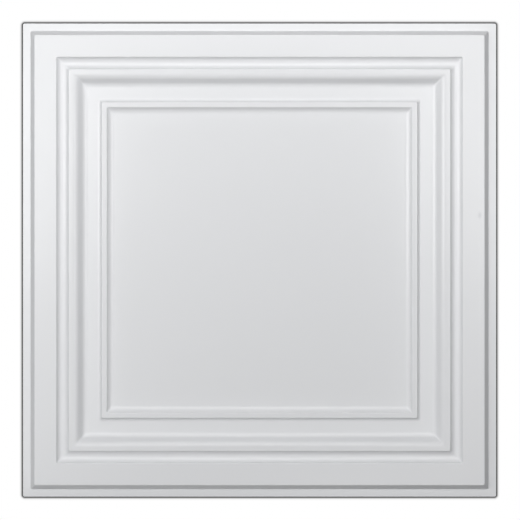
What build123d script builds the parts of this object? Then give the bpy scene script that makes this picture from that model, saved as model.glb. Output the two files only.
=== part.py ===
import math
import os

from build123d import *

# Coffered lay-in ceiling tile, formed from one sheet of rigid PVC.
# Millimetres, +Z up. The tile lies face up on the back of its centre panel,
# and the origin is at the middle of that back face.

# Sheet and outline
sheet = 0.8
tile_side = 603.25
corner_round = 2.0
edge_round = 1.1

# Plan widths of the moulding, going inward from the edge of the tile
flange_width = 9.8
wall_run = 5.5
border_width = 28.0
groove_width = 15.5
rim_width = 5.3
ogee_width = 18.2
band_width = 13.4
cove_width = 4.5
ridge_width = 6.7
inner_cove_width = 8.9

# Heights of the moulding, each measured from the face named with it
ridge_height = 5.8  # ridge top above the face of the centre panel
band_drop = 4.0  # band below the ridge top
ogee_rise = 11.4  # rim above the band
ogee_angle = 52.0  # steepest slope of the ogee, from level
rim_drop = 1.9  # rim below the border
groove_depth = 5.8  # bottom of the groove below the border
border_rise = 10.5  # border above the flange

# Levels of the front face above the floor
panel_level = sheet
ridge_level = panel_level + ridge_height
band_level = ridge_level - band_drop
rim_level = band_level + ogee_rise
border_level = rim_level + rim_drop
flange_level = border_level - border_rise

# Places across the section, measured from the middle of the tile
edge_x = tile_side / 2
wall_foot_x = edge_x - flange_width
border_outer_x = wall_foot_x - wall_run
border_inner_x = border_outer_x - border_width
rim_outer_x = border_inner_x - groove_width
rim_inner_x = rim_outer_x - rim_width
ogee_foot_x = rim_inner_x - ogee_width
band_inner_x = ogee_foot_x - band_width
ridge_outer_x = band_inner_x - cove_width
ridge_inner_x = ridge_outer_x - ridge_width
panel_edge_x = ridge_inner_x - inner_cove_width

# The ogee is two equal arcs, one hollow and one round, with a straight slope between them
slope_sin = math.sin(math.radians(ogee_angle))
slope_cos = math.cos(math.radians(ogee_angle))
ogee_radius = (ogee_width * slope_sin - ogee_rise * slope_cos) / (1 - slope_cos) / 2
hollow_end = (ogee_foot_x + ogee_radius * slope_sin, band_level + ogee_radius * (1 - slope_cos))
round_start = (rim_inner_x - ogee_radius * slope_sin, rim_level - ogee_radius * (1 - slope_cos))

# Corners of the front line where the sheet bends sharply
wall_foot = (wall_foot_x, flange_level)
border_outer = (border_outer_x, border_level)
border_inner = (border_inner_x, border_level)
rim_outer = (rim_outer_x, rim_level)
ridge_outer = (ridge_outer_x, ridge_level)
ridge_inner = (ridge_inner_x, ridge_level)
sharp_bends = [wall_foot, border_outer, border_inner, rim_outer, ridge_outer, ridge_inner]


def is_sharp_bend(vertex):
    """True where a vertex of the front line is one of the sharp bends."""
    return any(math.dist((vertex.X, vertex.Y), bend) < sheet / 10 for bend in sharp_bends)


# One quarter of the tile: the sheet's section, run along one side and cut to the mitres
with BuildPart() as quarter:
    with BuildSketch(Plane.XZ) as section:
        with BuildLine() as front:
            Line((0, panel_level), (panel_edge_x, panel_level))
            TangentArc((panel_edge_x, panel_level), ridge_inner, tangent=(1, 0))
            Line(ridge_inner, ridge_outer)
            TangentArc((band_inner_x, band_level), ridge_outer, tangent=(-1, 0))
            Line((band_inner_x, band_level), (ogee_foot_x, band_level))
            TangentArc((ogee_foot_x, band_level), hollow_end, tangent=(1, 0))
            Line(hollow_end, round_start)
            TangentArc((rim_inner_x, rim_level), round_start, tangent=(-1, 0))
            Line((rim_inner_x, rim_level), rim_outer)
            SagittaArc(rim_outer, border_inner, rim_drop / 2 - groove_depth)
            Line(border_inner, border_outer)
            Line(border_outer, wall_foot)
            Line(wall_foot, (edge_x, flange_level))
            fillet(front.vertices().filter_by(is_sharp_bend), radius=edge_round)
            offset(amount=sheet, side=Side.RIGHT)
        make_face()
    extrude(amount=edge_x, both=True)
    split(bisect_by=Plane(origin=(0, 0, 0), z_dir=(1, 1, 0)), keep=Keep.TOP)
    split(bisect_by=Plane(origin=(0, 0, 0), z_dir=(1, -1, 0)), keep=Keep.TOP)

# The whole tile: four quarters formed in one sheet, with rounded outer corners
with BuildPart() as ceiling_tile:
    with PolarLocations(0, 4):
        add(quarter.part)
    outer_corners = ceiling_tile.edges().filter_by(Axis.Z).group_by(SortBy.DISTANCE)[-1]
    fillet(outer_corners, radius=corner_round)

ceiling_tile.part.label = "ceiling_tile"

os.makedirs("parts", exist_ok=True)
export_step(ceiling_tile.part, "parts/ceiling_tile.step")
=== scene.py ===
import cmath
import math

import bpy
from bpy.props import FloatProperty, FloatVectorProperty, IntProperty, PointerProperty
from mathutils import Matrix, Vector


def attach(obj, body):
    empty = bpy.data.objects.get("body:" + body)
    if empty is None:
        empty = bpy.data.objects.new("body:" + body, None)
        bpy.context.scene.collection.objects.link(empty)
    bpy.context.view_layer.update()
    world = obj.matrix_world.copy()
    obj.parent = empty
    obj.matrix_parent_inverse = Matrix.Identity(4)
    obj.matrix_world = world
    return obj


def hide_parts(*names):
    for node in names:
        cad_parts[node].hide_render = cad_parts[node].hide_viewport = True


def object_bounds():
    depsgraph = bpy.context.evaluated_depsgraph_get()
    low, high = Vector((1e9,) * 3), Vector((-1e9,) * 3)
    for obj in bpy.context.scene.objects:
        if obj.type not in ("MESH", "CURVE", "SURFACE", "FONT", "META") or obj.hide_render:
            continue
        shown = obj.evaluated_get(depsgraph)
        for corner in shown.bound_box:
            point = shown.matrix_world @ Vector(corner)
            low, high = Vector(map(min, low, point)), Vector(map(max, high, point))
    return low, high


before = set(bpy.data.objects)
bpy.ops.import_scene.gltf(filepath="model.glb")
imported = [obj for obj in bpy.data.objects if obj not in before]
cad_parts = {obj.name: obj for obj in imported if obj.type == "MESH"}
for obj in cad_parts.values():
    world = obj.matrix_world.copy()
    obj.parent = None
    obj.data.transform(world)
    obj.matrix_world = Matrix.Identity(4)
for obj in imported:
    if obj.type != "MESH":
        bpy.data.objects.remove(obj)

bl_info = {
    "name": "Coffered Ceiling Tile",
    "version": (1, 0, 0),
    "blender": (4, 5, 0),
    "location": "3D View > Sidebar > Ceiling Tile",
    "description": "Forms a coffered lay-in ceiling tile from one PVC sheet and sets it on a white stage",
    "category": "Add Mesh",
}

CAD_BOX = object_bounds()
TILE_SIDE = CAD_BOX[1].x - CAD_BOX[0].x
MM = 0.001
ROUND_LAMPS = (
    "wide_left",
    "high_left",
    "near_left",
    "high_right",
    "near_right",
    "far_left",
    "far_right",
    "high_near",
    "low_left",
    "under",
)

# How finely the sheet is divided: the most that an arc turns between two points, how far the extra
# points at the ends of a flat stand from its ends, and the shortest flat that gets them
ARC_STEP = math.radians(6)
EASE = 0.6 * MM
LONG_FLAT = 3 * EASE

# Points closer than WELD become one, and edges that fold by more than CREASE stay sharp
WELD = 0.001 * MM
CREASE = math.radians(40)

# Sides of a hollow in the section
OUTER = -1
INNER = 1

QUARTER_TURN = math.pi / 2

# The floor lies a hair below the tile, so that the two faces don't coincide
FLOOR_DROP = 0.1 * MM

# Contact shadow on the floor: share of its reach, and how white the floor is there
SHADOW_STOPS = [
    (0.1, 0.06),
    (0.22, 0.1),
    (0.32, 0.25),
    (0.43, 0.55),
    (0.55, 0.8),
    (0.75, 0.97),
    (1, 1),
]

# Width of the camera's film, in the camera's millimetres
FILM_WIDTH = 36

WHITE = (1, 1, 1, 1)

# Sockets of a Mix node that mixes colours, by number because their names repeat
MIX_FACTOR = 0
MIX_FIRST = 6
MIX_SECOND = 7
MIX_RESULT = 2


# Settings that a user would change


def length(name, millimetres, description):
    """A property that holds a length."""
    return FloatProperty(
        name=name, description=description, default=millimetres * MM, min=0, precision=5, unit="LENGTH"
    )


def share(name, default, description):
    """A property that holds a number from 0 to 1."""
    return FloatProperty(
        name=name, description=description, default=default, min=0, max=1, subtype="FACTOR"
    )


def colour(name, default, description):
    """A property that holds a linear colour."""
    return FloatVectorProperty(
        name=name, description=description, default=default, size=3, min=0, max=1, subtype="COLOR"
    )


def place(name, default, description):
    """A property that holds a point in the tile's frame."""
    return FloatVectorProperty(
        name=name, description=description, default=default, size=3, subtype="TRANSLATION", unit="LENGTH"
    )


def power(name, watts, description):
    """A property that holds the power of a lamp."""
    return FloatProperty(name=name, description=description, default=watts, min=0, unit="POWER")


class TileSizes(bpy.types.PropertyGroup):
    """Sizes of the formed sheet, going inward from the edge of the tile."""

    side: length("Side", TILE_SIDE / MM, "Length of each side of the tile")
    sheet: length("Sheet", 0.8, "Thickness of the PVC sheet")
    corner_round: length("Corner Radius", 2.0, "Radius in plan of the outer corners and the mitres")
    edge_round: length("Bend Radius", 1.1, "Radius of the sharp bends on the front of the sheet")
    flange_width: length("Flange Width", 9.8, "Flat flange that rests on the grid")
    wall_run: length("Wall Run", 5.5, "Plan width of the wall between flange and border")
    border_width: length("Border Width", 28.0, "Flat raised border")
    groove_width: length("Groove Width", 15.5, "Round groove inside the border")
    rim_width: length("Rim Width", 5.3, "Flat rim between groove and ogee")
    ogee_width: length("Ogee Width", 18.2, "Plan width of the ogee")
    band_width: length("Band Width", 13.4, "Flat band at the foot of the ogee")
    cove_width: length("Outer Cove Width", 4.5, "Plan width of the cove outside the ridge")
    ridge_width: length("Ridge Width", 6.7, "Flat top of the ridge")
    inner_cove_width: length("Inner Cove Width", 8.9, "Plan width of the cove inside the ridge")
    ridge_height: length("Ridge Height", 5.8, "Ridge top above the face of the centre panel")
    band_drop: length("Band Drop", 4.0, "Band below the ridge top")
    ogee_rise: length("Ogee Rise", 11.4, "Rim above the band")
    ogee_angle: FloatProperty(
        name="Ogee Angle",
        description="Steepest slope of the ogee, from level",
        default=math.radians(52.0),
        min=0,
        max=math.radians(89),
        subtype="ANGLE",
    )
    rim_drop: length("Rim Drop", 1.9, "Rim below the border")
    groove_depth: length("Groove Depth", 5.8, "Bottom of the groove below the border")
    border_rise: length("Border Rise", 10.5, "Border above the flange")
    corner_steps: IntProperty(
        name="Corner Steps", description="Points round each corner of the tile", default=9, min=2
    )
    side_steps: IntProperty(
        name="Side Steps", description="Points along each side of the tile", default=5, min=0
    )


class PvcFinish(bpy.types.PropertyGroup):
    """Colours and surface of the white PVC."""

    white: colour("White", (0.800, 0.808, 0.824), "Colour of the PVC")
    tone: share("Tone Variation", 0.012, "How much the white varies over the sheet")
    roughness: share("Roughness", 0.22, "Roughness of the satin face")
    gloss_variation: share("Gloss Variation", 0.05, "How much the roughness varies over the sheet")
    ior: FloatProperty(name="IOR", description="Index of refraction of the PVC", default=1.54, min=1)
    tone_size: length("Tone Size", 110, "Spacing of the changes of tone")
    gloss_size: length("Gloss Size", 17, "Spacing of the changes of gloss")
    grain_size: length("Grain Size", 1.6, "Spacing of the fine grain of the formed face")
    grain_depth: length("Grain Depth", 0.004, "Depth of the fine grain of the formed face")
    mark_colour: colour("Mark Colour", (0.68, 0.69, 0.71), "Colour of the faint scuff on the border")
    mark_place: place("Mark Place", (0.2801, 0.057, 0.0155), "Middle of the faint scuff on the border")
    mark_reach: FloatVectorProperty(
        name="Mark Reach",
        description="How far from its middle the scuff fades out along each axis",
        default=(0.0036, 0.0065, 0.0036),
        size=3,
        subtype="XYZ",
        unit="LENGTH",
    )


class StageSettings(bpy.types.PropertyGroup):
    """Camera, lamps and floor round the tile."""

    view_width: length("View Width", 664, "Width of the view at the floor")
    view_distance: length("View Distance", 4000, "Height of the camera above the floor")
    view_centre: place("View Centre", (0.0006, 0.0001, 0), "Point that the camera looks down on")
    floor_white: colour("Floor", (0.8, 0.8, 0.8), "Colour of the floor as it lights the tile")
    contact_reach: length("Contact Shadow", 6.0, "Reach of the shadow on the floor beside the tile")
    ambient: share("Ambient Light", 0.02, "Strength of the light from all round")
    lamp_size: length("Lamp Size", 500, "Width of each round lamp")
    wide_left_place: place("Wide Left Lamp", (-1.2, 0.2, 1.4), "Place of the lamp far out on the left")
    wide_left_power: power("Wide Left Power", 4.2, "Power of the lamp far out on the left")
    high_left_place: place("High Left Lamp", (-0.5, 0.2, 1.4), "Place of the high lamp on the left")
    high_left_power: power("High Left Power", 2.8, "Power of the high lamp on the left")
    near_left_place: place("Near Left Lamp", (-0.5, -0.2, 1.4), "Place of the high lamp at the near left")
    near_left_power: power("Near Left Power", 1.1, "Power of the high lamp at the near left")
    high_right_place: place("High Right Lamp", (0.5, 0.2, 1.4), "Place of the high lamp on the right")
    high_right_power: power("High Right Power", 2.7, "Power of the high lamp on the right")
    near_right_place: place("Near Right Lamp", (0.5, -0.2, 1.4), "Place of the high lamp at the near right")
    near_right_power: power("Near Right Power", 1.3, "Power of the high lamp at the near right")
    far_left_place: place("Far Left Lamp", (-0.2, 0.6, 1.4), "Place of the high lamp at the far left")
    far_left_power: power("Far Left Power", 1.7, "Power of the high lamp at the far left")
    far_right_place: place("Far Right Lamp", (0.2, 0.6, 1.4), "Place of the high lamp at the far right")
    far_right_power: power("Far Right Power", 2.0, "Power of the high lamp at the far right")
    high_near_place: place("High Near Lamp", (0.2, -0.6, 1.4), "Place of the high lamp over the near side")
    high_near_power: power("High Near Power", 1.2, "Power of the high lamp over the near side")
    low_left_place: place("Low Left Lamp", (-0.7, -0.7, 0.7), "Place of the low lamp at the near left")
    low_left_power: power("Low Left Power", 1.2, "Power of the low lamp at the near left")
    under_place: place("Under Lamp", (-0.7, 0.5, -1.4), "Place of the lamp that lights the tile's back")
    under_power: power("Under Power", 13, "Power of the lamp that lights the tile's back")
    far_strip_place: place("Far Strip Lamp", (0, 0.45, 0.45), "Place of the strip lamp along the far edge")
    far_strip_power: power("Far Strip Power", 1.3, "Power of the strip lamp along the far edge")
    far_strip_length: length("Far Strip Length", 1400, "Length of the strip lamp along the far edge")
    far_strip_width: length("Far Strip Width", 360, "Width of the strip lamp along the far edge")


# Node trees


class Value:
    """One output socket of a node. Python's operators on it add Math nodes to its tree."""

    def __init__(self, nodes, socket):
        self.nodes = nodes
        self.socket = socket

    def output(self, name):
        """Another output of the same node."""
        return Value(self.nodes, self.socket.node.outputs[name])

    def math(self, operation, *terms):
        """A Math node on the given numbers and values."""
        return self.nodes.add("ShaderNodeMath", {"operation": operation}, dict(enumerate(terms)))

    def __add__(self, other):
        return self.math("ADD", self, other)

    def __radd__(self, other):
        return self.math("ADD", other, self)

    def __sub__(self, other):
        return self.math("SUBTRACT", self, other)

    def __rsub__(self, other):
        return self.math("SUBTRACT", other, self)

    def __mul__(self, other):
        return self.math("MULTIPLY", self, other)

    def __rmul__(self, other):
        return self.math("MULTIPLY", other, self)

    def __truediv__(self, other):
        return self.math("DIVIDE", self, other)

    def __rtruediv__(self, other):
        return self.math("DIVIDE", other, self)

    def __gt__(self, other):
        return self.math("GREATER_THAN", self, other)

    def __lt__(self, other):
        return self.math("LESS_THAN", self, other)

    def __abs__(self):
        return self.math("ABSOLUTE", self)

    def floor(self):
        """The whole number at or below a number."""
        return self.math("FLOOR", self)

    def lower(self, other):
        """The lower of two numbers."""
        return self.math("MINIMUM", self, other)

    def higher(self, other):
        """The higher of two numbers."""
        return self.math("MAXIMUM", self, other)

    def sine(self):
        """The sine of an angle."""
        return self.math("SINE", self)

    def cosine(self):
        """The cosine of an angle."""
        return self.math("COSINE", self)

    def root(self):
        """The square root."""
        return self.math("SQRT", self)


class Nodes:
    """The nodes of one material, world or geometry tree."""

    def __init__(self, tree):
        self.tree = tree
        tree.nodes.clear()

    def add(self, kind, settings=None, sockets=None, out=0):
        """A new node of the given kind, as the Value of its output named or numbered out.

        Its settings are set first, then its sockets, given by name or number as numbers or Values.
        """
        node = self.tree.nodes.new(kind)
        for name, value in (settings or {}).items():
            if name == "stops":
                self.set_stops(node.color_ramp, value)
            else:
                setattr(node, name, value)
        for key, value in (sockets or {}).items():
            if isinstance(value, Value):
                self.tree.links.new(value.socket, node.inputs[key])
            else:
                node.inputs[key].default_value = value
        return Value(self, node.outputs[out]) if node.outputs else None

    @staticmethod
    def set_stops(ramp, stops):
        """Gives a colour ramp its stops, each a place and a grey."""
        while len(ramp.elements) < len(stops):
            ramp.elements.new(1)
        for element, (position, grey) in zip(ramp.elements, stops):
            element.position = position
            element.color = (grey, grey, grey, 1)


def opaque(rgb):
    """A colour with its alpha."""
    return (*rgb, 1)


# The sheet's section. Its points are complex numbers: inward from the edge, plus 1j times up.


def arc(start, end, heading):
    """Points of the arc that leaves start at the angle heading and runs to end."""
    chord = end - start
    half_turn = cmath.phase(chord / cmath.rect(1, heading))
    steps = math.ceil(2 * abs(half_turn) / ARC_STEP)
    diameter = abs(chord) / math.sin(half_turn)
    angles = [half_turn * step / steps for step in range(steps + 1)]
    return [start + cmath.rect(diameter * math.sin(angle), heading + angle) for angle in angles]


def bend(before, corner, after, radius):
    """Points of the arc that rounds the corner between two straight runs."""
    heading = cmath.phase(corner - before)
    turn = cmath.phase((after - corner) / (corner - before))
    reach = radius * math.tan(abs(turn) / 2)
    return arc(corner - cmath.rect(reach, heading), corner + cmath.rect(reach, heading + turn), heading)


class Hollow:
    """A hollow arc of the section, met by level flats through rounded lips."""

    def __init__(self, centre, radius):
        self.centre = centre
        self.radius = radius

    def lip(self, level, rounding, side):
        """Points of the lip from a flat down to the arc, on its OUTER or INNER side."""
        drop = self.centre.imag - level + rounding
        reach = self.radius + rounding
        ball = complex(self.centre.real + side * math.sqrt(reach**2 - drop**2), level - rounding)
        on_arc = self.centre + (ball - self.centre) * self.radius / reach
        return arc(ball + 1j * rounding, on_arc, 0 if side == OUTER else math.pi)


def cove(foot, width, rise):
    """The hollow arc that rises from a flat at its foot and is as wide and as high as given."""
    radius = (width**2 + rise**2) / (2 * rise)
    return Hollow(foot + 1j * radius, radius)


def groove(outer, inner, depth):
    """The hollow arc from one edge of the groove to the other, whose middle is depth below the chord."""
    chord = inner - outer
    radius = (abs(chord) ** 2 / 4 + depth**2) / (2 * depth)
    return Hollow((outer + inner) / 2 + 1j * chord / abs(chord) * (radius - depth), radius)


def section_line(size):
    """Front line of the sheet, from the edge of the tile to its middle."""
    flange_level = (
        size.sheet + size.ridge_height - size.band_drop + size.ogee_rise + size.rim_drop - size.border_rise
    )
    edge = 1j * flange_level
    wall_foot = edge + size.flange_width
    border_outer = wall_foot + complex(size.wall_run, size.border_rise)
    border_inner = border_outer + size.border_width
    rim_outer = border_inner + complex(size.groove_width, -size.rim_drop)
    rim_inner = rim_outer + size.rim_width
    ogee_foot = rim_inner + complex(size.ogee_width, -size.ogee_rise)
    band_inner = ogee_foot + size.band_width
    ridge_outer = band_inner + complex(size.cove_width, size.band_drop)
    ridge_inner = ridge_outer + size.ridge_width
    panel_edge = ridge_inner + complex(size.inner_cove_width, -size.ridge_height)
    middle = complex(size.side / 2, panel_edge.imag)

    rounding = size.edge_round
    channel = groove(border_inner, rim_outer, size.groove_depth - size.rim_drop / 2)
    outer_cove = cove(band_inner, size.cove_width, size.band_drop)
    inner_cove = cove(panel_edge, size.inner_cove_width, size.ridge_height)
    border_lip = channel.lip(border_inner.imag, rounding, OUTER)
    rim_lip = channel.lip(rim_outer.imag, rounding, INNER)[::-1]
    ridge_lip = outer_cove.lip(ridge_outer.imag, rounding, INNER)[::-1]
    inner_lip = inner_cove.lip(ridge_inner.imag, rounding, OUTER)

    slope_sin = math.sin(size.ogee_angle)
    slope_fall = 1 - math.cos(size.ogee_angle)
    ogee_radius = (size.ogee_width * slope_sin - size.ogee_rise * (1 - slope_fall)) / slope_fall / 2
    round_end = rim_inner + ogee_radius * complex(slope_sin, -slope_fall)
    hollow_start = ogee_foot - ogee_radius * complex(slope_sin, -slope_fall)
    groove_heading = cmath.phase(1j * (border_lip[-1] - channel.centre))

    line = [edge]
    line += bend(edge, wall_foot, border_outer, rounding)
    line += bend(wall_foot, border_outer, border_inner, rounding)
    line += border_lip
    line += arc(border_lip[-1], rim_lip[0], groove_heading)[1:-1]
    line += rim_lip
    line += arc(rim_inner, round_end, 0)
    line += arc(ogee_foot, hollow_start, math.pi)[::-1]
    line += arc(band_inner, ridge_lip[0], 0)[:-1]
    line += ridge_lip
    line += inner_lip
    line += arc(panel_edge, inner_lip[-1], math.pi)[-2::-1]
    line += [middle]
    return with_eased_flats(line)


def with_eased_flats(line):
    """The line with a point close to each end of its long flats, so that they shade flat."""
    eased = [line[0]]
    for start, end in zip(line, line[1:]):
        run = end - start
        if abs(run) > LONG_FLAT:
            step = run / abs(run) * EASE
            eased += [start + step, end - step]
        eased.append(end)
    return eased


def draw_section(size):
    """A curve object that holds the section's front line, inward along X and up along Z."""
    line = section_line(size)
    curve = bpy.data.curves.new("moulding_section", "CURVE")
    curve.dimensions = "3D"
    spline = curve.splines.new("POLY")
    spline.points.add(len(line) - 1)
    for point, at in zip(spline.points, line):
        point.co = (at.real, 0, at.imag, 1)
    section = bpy.data.objects.new("moulding_section", curve)
    bpy.context.scene.collection.objects.link(section)
    return section


# The sheet, run round the tile


def sheet_inputs(tree):
    """Adds the named inputs of the tree that forms the sheet."""
    inputs = [
        ("Section", "NodeSocketObject"),
        ("Side", "NodeSocketFloat"),
        ("Sheet", "NodeSocketFloat"),
        ("Corner Radius", "NodeSocketFloat"),
        ("Corner Steps", "NodeSocketInt"),
        ("Side Steps", "NodeSocketInt"),
        ("Ease", "NodeSocketFloat"),
        ("Weld", "NodeSocketFloat"),
        ("Crease", "NodeSocketFloat"),
        ("Material", "NodeSocketMaterial"),
    ]
    for name, kind in inputs:
        tree.interface.new_socket(name, in_out="INPUT", socket_type=kind)
    tree.interface.new_socket("Geometry", in_out="OUTPUT", socket_type="NodeSocketGeometry")


def sheet_tree():
    """Geometry nodes that run a section round a square tile, front and back, as one closed sheet."""
    tree = bpy.data.node_groups.new("formed_sheet", "GeometryNodeTree")
    tree.is_modifier = True
    sheet_inputs(tree)
    nodes = Nodes(tree)
    given = nodes.add("NodeGroupInput")
    side = given.output("Side")
    corner_steps = given.output("Corner Steps")
    side_steps = given.output("Side Steps")

    section = nodes.add(
        "GeometryNodeObjectInfo", sockets={"Object": given.output("Section")}
    ).output("Geometry")
    count = nodes.add(
        "GeometryNodeAttributeDomainSize", {"component": "CURVE"}, {"Geometry": section}
    ).output("Point Count")

    # A grid with a column for each point of a ring, and a row for each point of the front, from the
    # middle of the tile out, then of the back, from the edge in
    quarter_columns = corner_steps + side_steps + 2
    columns = quarter_columns * 4 + 1
    grid = nodes.add(
        "GeometryNodeMeshGrid", sockets={"Vertices X": count * 2, "Vertices Y": columns}
    ).output("Mesh")
    index = nodes.add("GeometryNodeInputIndex")
    row = (index / columns).floor()
    column = index - row * columns
    from_edge = abs(row - count + 0.5) - 0.5
    on_back = row > count - 0.5

    def sampled(field):
        """A vector field of the section, at the point that each point of the grid stands for."""
        vector = nodes.add(
            "GeometryNodeSampleIndex",
            {"data_type": "FLOAT_VECTOR", "domain": "POINT"},
            {"Geometry": section, "Value": field, "Index": from_edge},
        )
        return nodes.add("ShaderNodeSeparateXYZ", sockets={"Vector": vector})

    front = sampled(nodes.add("GeometryNodeInputPosition"))
    along = sampled(nodes.add("GeometryNodeInputTangent"))
    depth = on_back * given.output("Sheet")
    inward = front.output("X") + depth * along.output("Z")
    height = front.output("Z") - depth * along.output("X")

    # Each ring is a square with rounded corners, and each column a place on one quarter of it
    half = side / 2 - inward
    radius = given.output("Corner Radius").lower(half)
    straight = half - radius
    ease = given.output("Ease").lower(straight)
    quarter = (column / quarter_columns).floor()
    step = column - quarter * quarter_columns
    angle = ((step - 1) / (corner_steps - 1)).higher(0).lower(1) * QUARTER_TURN
    past_corner = step > corner_steps + 0.5
    before_corner = step < 0.5
    reached = (step - corner_steps - 1) / (side_steps + 1)
    onward = past_corner * (ease + (straight - ease) * 2 * reached) - before_corner * ease
    corner = nodes.add(
        "ShaderNodeCombineXYZ",
        sockets={
            "X": straight + radius * angle.cosine() - onward * angle.sine(),
            "Y": straight + radius * angle.sine() + onward * angle.cosine(),
            "Z": height,
        },
    )
    around = nodes.add(
        "ShaderNodeVectorRotate",
        {"rotation_type": "Z_AXIS"},
        {"Vector": corner, "Angle": quarter * QUARTER_TURN},
    )
    formed = nodes.add("GeometryNodeSetPosition", sockets={"Geometry": grid, "Position": around})
    welded = nodes.add(
        "GeometryNodeMergeByDistance", sockets={"Geometry": formed, "Distance": given.output("Weld")}
    )

    # Smooth faces, with a crease along the cut edge of the sheet
    smooth = nodes.add(
        "GeometryNodeSetShadeSmooth", {"domain": "FACE"}, {"Geometry": welded, "Shade Smooth": True}
    )
    fold = nodes.add("GeometryNodeInputMeshEdgeAngle").output("Unsigned Angle")
    creased = nodes.add(
        "GeometryNodeSetShadeSmooth",
        {"domain": "EDGE"},
        {"Geometry": smooth, "Selection": fold > given.output("Crease"), "Shade Smooth": False},
    )
    realized = nodes.add("GeometryNodeRealizeInstances", sockets={"Geometry": creased})
    finished = nodes.add(
        "GeometryNodeSetMaterial", sockets={"Geometry": realized, "Material": given.output("Material")}
    )
    nodes.add("NodeGroupOutput", sockets={"Geometry": finished})
    return tree


def set_inputs(modifier, values):
    """Sets a geometry nodes modifier's inputs, given by their names."""
    for item in modifier.node_group.interface.items_tree:
        if item.in_out == "INPUT":
            modifier[item.identifier] = values[item.name]


def make_plain(piece):
    """Turns a piece's evaluated shape into a plain mesh with no modifier."""
    depsgraph = bpy.context.evaluated_depsgraph_get()
    mesh = bpy.data.meshes.new_from_object(piece.evaluated_get(depsgraph), depsgraph=depsgraph)
    mesh.name = piece.name
    piece.modifiers.clear()
    piece.data = mesh


def form_tile(size, material):
    """The tile as one closed mesh, formed from its section."""
    section = draw_section(size)
    piece = bpy.data.objects.new("formed_tile", bpy.data.meshes.new("formed_tile"))
    bpy.context.scene.collection.objects.link(piece)
    modifier = piece.modifiers.new("formed_sheet", "NODES")
    modifier.node_group = sheet_tree()
    set_inputs(
        modifier,
        {
            "Section": section,
            "Side": size.side,
            "Sheet": size.sheet,
            "Corner Radius": size.corner_round,
            "Corner Steps": size.corner_steps,
            "Side Steps": size.side_steps,
            "Ease": EASE,
            "Weld": WELD,
            "Crease": CREASE,
            "Material": material,
        },
    )
    make_plain(piece)
    bpy.data.objects.remove(section)
    if not piece.data.polygons:
        raise RuntimeError("the sheet came out empty")
    return piece


# Finishes


def white_pvc(finish):
    """Satin white PVC with a fine formed grain, a slight change of tone and one faint scuff."""
    material = bpy.data.materials.new("satin_white_pvc")
    material.use_nodes = True
    nodes = Nodes(material.node_tree)
    at = nodes.add("ShaderNodeTexCoord").output("Object")

    def noise(size, detail):
        """Soft noise whose patches are about as wide as size."""
        return nodes.add("ShaderNodeTexNoise", sockets={"Vector": at, "Scale": 1 / size, "Detail": detail})

    def vector(operation, sockets, out=0):
        """A Vector Math node."""
        return nodes.add("ShaderNodeVectorMath", {"operation": operation}, sockets, out)

    def mixed(factor, first, second):
        """The first colour where the factor is 0, and the second where it is 1."""
        sockets = {MIX_FACTOR: factor, MIX_FIRST: first, MIX_SECOND: second}
        return nodes.add("ShaderNodeMix", {"data_type": "RGBA"}, sockets, MIX_RESULT)

    tone = noise(finish.tone_size, detail=2)
    gloss = noise(finish.gloss_size, detail=3)
    grain = noise(finish.grain_size, detail=1)
    past_mark = vector("SUBTRACT", {0: at, 1: finish.mark_place})
    in_reaches = vector("DIVIDE", {0: past_mark, 1: finish.mark_reach})
    from_mark = vector("LENGTH", {0: in_reaches}, out="Value")
    mark = nodes.add(
        "ShaderNodeMapRange",
        {"interpolation_type": "SMOOTHSTEP"},
        {"Value": from_mark, "From Min": 0, "From Max": 1, "To Min": 1, "To Max": 0},
    )
    darker = tuple(part * (1 - finish.tone) for part in finish.white)
    white = mixed(tone, opaque(darker), opaque(finish.white))
    marked = mixed(mark, white, opaque(finish.mark_colour))
    bump = nodes.add(
        "ShaderNodeBump", sockets={"Height": grain, "Strength": 1, "Distance": finish.grain_depth}
    )
    surface = nodes.add(
        "ShaderNodeBsdfPrincipled",
        sockets={
            "Base Color": marked,
            "Roughness": finish.roughness + finish.gloss_variation * (gloss - 0.5) * 2,
            "IOR": finish.ior,
            "Normal": bump,
        },
    )
    nodes.add("ShaderNodeOutputMaterial", sockets={"Surface": surface})
    return material


# The stage


def seen_directly(nodes):
    """1 for rays from the camera, a mirror or glass, which see the background as plain white."""
    rays = nodes.add("ShaderNodeLightPath")
    mirrored = rays.output("Is Glossy Ray").higher(rays.output("Is Transmission Ray"))
    return rays.output("Is Camera Ray").higher(mirrored)


def floor_paint(stage, size):
    """White floor with the tile's contact shadow.

    Under the tile it is plain paint that the lamps light, and from below it is clear.
    """
    material = bpy.data.materials.new("floor_paint")
    material.use_nodes = True
    nodes = Nodes(material.node_tree)
    at = nodes.add("ShaderNodeTexCoord").output("Object")
    spot = nodes.add("ShaderNodeSeparateXYZ", sockets={"Vector": at})
    straight = size.side / 2 - size.corner_round
    beyond = [(abs(spot.output(axis)) - straight).higher(0) for axis in "XY"]
    away = (beyond[0] * beyond[0] + beyond[1] * beyond[1]).root() - size.corner_round
    shadow = nodes.add("ShaderNodeValToRGB", {"stops": SHADOW_STOPS}, {0: away / stage.contact_reach})
    white = nodes.add("ShaderNodeEmission", sockets={"Color": shadow})
    paint = nodes.add("ShaderNodeBsdfDiffuse", sockets={"Color": opaque(stage.floor_white)})
    plain_white = seen_directly(nodes) * (away > 0)
    top = nodes.add("ShaderNodeMixShader", sockets={0: plain_white, 1: paint, 2: white})
    shadow_ray = nodes.add("ShaderNodeLightPath").output("Is Shadow Ray")
    from_below = nodes.add("ShaderNodeNewGeometry").output("Backfacing").higher(shadow_ray)
    clear = nodes.add("ShaderNodeBsdfTransparent")
    surface = nodes.add("ShaderNodeMixShader", sockets={0: from_below, 1: top, 2: clear})
    nodes.add("ShaderNodeOutputMaterial", sockets={"Surface": surface})
    return material


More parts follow.
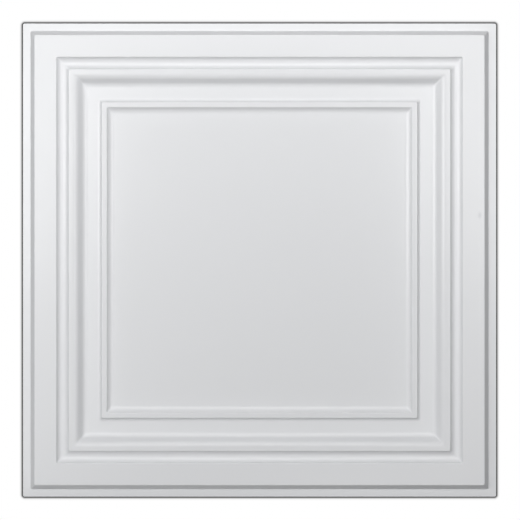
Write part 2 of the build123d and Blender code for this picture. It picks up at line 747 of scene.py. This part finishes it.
def lay_floor(stage, size):
    """A wide flat floor under the tile."""
    reach = stage.view_distance
    corners = [(-reach, -reach), (reach, -reach), (reach, reach), (-reach, reach)]
    mesh = bpy.data.meshes.new("floor")
    mesh.from_pydata([(x, y, -FLOOR_DROP) for x, y in corners], [], [(0, 1, 2, 3)])
    mesh.materials.append(floor_paint(stage, size))
    floor = bpy.data.objects.new("floor", mesh)
    bpy.context.scene.collection.objects.link(floor)


def light_all_round(stage):
    """Even light from all round, seen as white."""
    world = bpy.data.worlds.new("studio")
    world.use_nodes = True
    nodes = Nodes(world.node_tree)
    ambient = nodes.add("ShaderNodeBackground", sockets={"Color": WHITE, "Strength": stage.ambient})
    white = nodes.add("ShaderNodeBackground", sockets={"Color": WHITE, "Strength": 1})
    surface = nodes.add("ShaderNodeMixShader", sockets={0: seen_directly(nodes), 1: ambient, 2: white})
    nodes.add("ShaderNodeOutputWorld", sockets={"Surface": surface})
    bpy.context.scene.world = world


def hang_lamp(name, at, size, watts):
    """A soft oval lamp, as long and as wide as given, that points at the middle of the tile."""
    lamp = bpy.data.lights.new(name, "AREA")
    lamp.shape = "ELLIPSE"
    lamp.size, lamp.size_y = size
    lamp.energy = watts
    hung = bpy.data.objects.new(name, lamp)
    hung.location = at
    hung.rotation_euler = (-Vector(at)).to_track_quat("-Z", "Y").to_euler()
    hung.visible_camera = False
    bpy.context.scene.collection.objects.link(hung)


def set_camera(stage):
    """A long lens straight above the tile."""
    lens = bpy.data.cameras.new("camera")
    lens.sensor_width = FILM_WIDTH
    lens.lens = FILM_WIDTH * stage.view_distance / stage.view_width
    camera = bpy.data.objects.new("camera", lens)
    camera.location = Vector(stage.view_centre) + Vector((0, 0, stage.view_distance))
    bpy.context.scene.collection.objects.link(camera)
    bpy.context.scene.camera = camera


# Operators, panel and registration


class CEILINGTILE_OT_form_tile(bpy.types.Operator):
    """Form the ceiling tile from one sheet of white PVC"""

    bl_idname = "ceiling_tile.form_tile"
    bl_label = "Form Tile"

    def execute(self, context):
        piece = form_tile(context.scene.tile_sizes, white_pvc(context.scene.pvc_finish))
        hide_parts("ceiling_tile")
        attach(piece, "root")
        return {"FINISHED"}


class CEILINGTILE_OT_set_stage(bpy.types.Operator):
    """Lay the white floor and set the lamps and the camera"""

    bl_idname = "ceiling_tile.set_stage"
    bl_label = "Set Stage"

    def execute(self, context):
        stage = context.scene.tile_stage
        lay_floor(stage, context.scene.tile_sizes)
        light_all_round(stage)
        round_size = (stage.lamp_size, stage.lamp_size)
        for lamp in ROUND_LAMPS:
            hang_lamp(lamp, getattr(stage, f"{lamp}_place"), round_size, getattr(stage, f"{lamp}_power"))
        strip_size = (stage.far_strip_length, stage.far_strip_width)
        hang_lamp("far_strip", stage.far_strip_place, strip_size, stage.far_strip_power)
        set_camera(stage)
        context.scene.view_settings.view_transform = "Standard"
        return {"FINISHED"}


class CEILINGTILE_PT_sidebar(bpy.types.Panel):
    """Sizes, finish and stage of the ceiling tile"""

    bl_idname = "CEILINGTILE_PT_sidebar"
    bl_label = "Ceiling Tile"
    bl_space_type = "VIEW_3D"
    bl_region_type = "UI"
    bl_category = "Ceiling Tile"

    def draw(self, context):
        scene = context.scene
        for group, operators in (
            (scene.tile_sizes, ()),
            (scene.pvc_finish, (CEILINGTILE_OT_form_tile,)),
            (scene.tile_stage, (CEILINGTILE_OT_set_stage,)),
        ):
            box = self.layout.box()
            for name in group.__annotations__:
                box.prop(group, name)
            for operator in operators:
                self.layout.operator(operator.bl_idname)


CLASSES = (
    TileSizes,
    PvcFinish,
    StageSettings,
    CEILINGTILE_OT_form_tile,
    CEILINGTILE_OT_set_stage,
    CEILINGTILE_PT_sidebar,
)


def register():
    """Registers the classes and gives the scene its settings."""
    for item in CLASSES:
        bpy.utils.register_class(item)
    bpy.types.Scene.tile_sizes = PointerProperty(type=TileSizes)
    bpy.types.Scene.pvc_finish = PointerProperty(type=PvcFinish)
    bpy.types.Scene.tile_stage = PointerProperty(type=StageSettings)


def unregister():
    """Takes the settings and the classes away again."""
    del bpy.types.Scene.tile_stage
    del bpy.types.Scene.pvc_finish
    del bpy.types.Scene.tile_sizes
    for item in reversed(CLASSES):
        bpy.utils.unregister_class(item)


def main():
    """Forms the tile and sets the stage."""
    register()
    bpy.ops.ceiling_tile.form_tile()
    bpy.ops.ceiling_tile.set_stage()


if __name__ == "__main__":
    main()
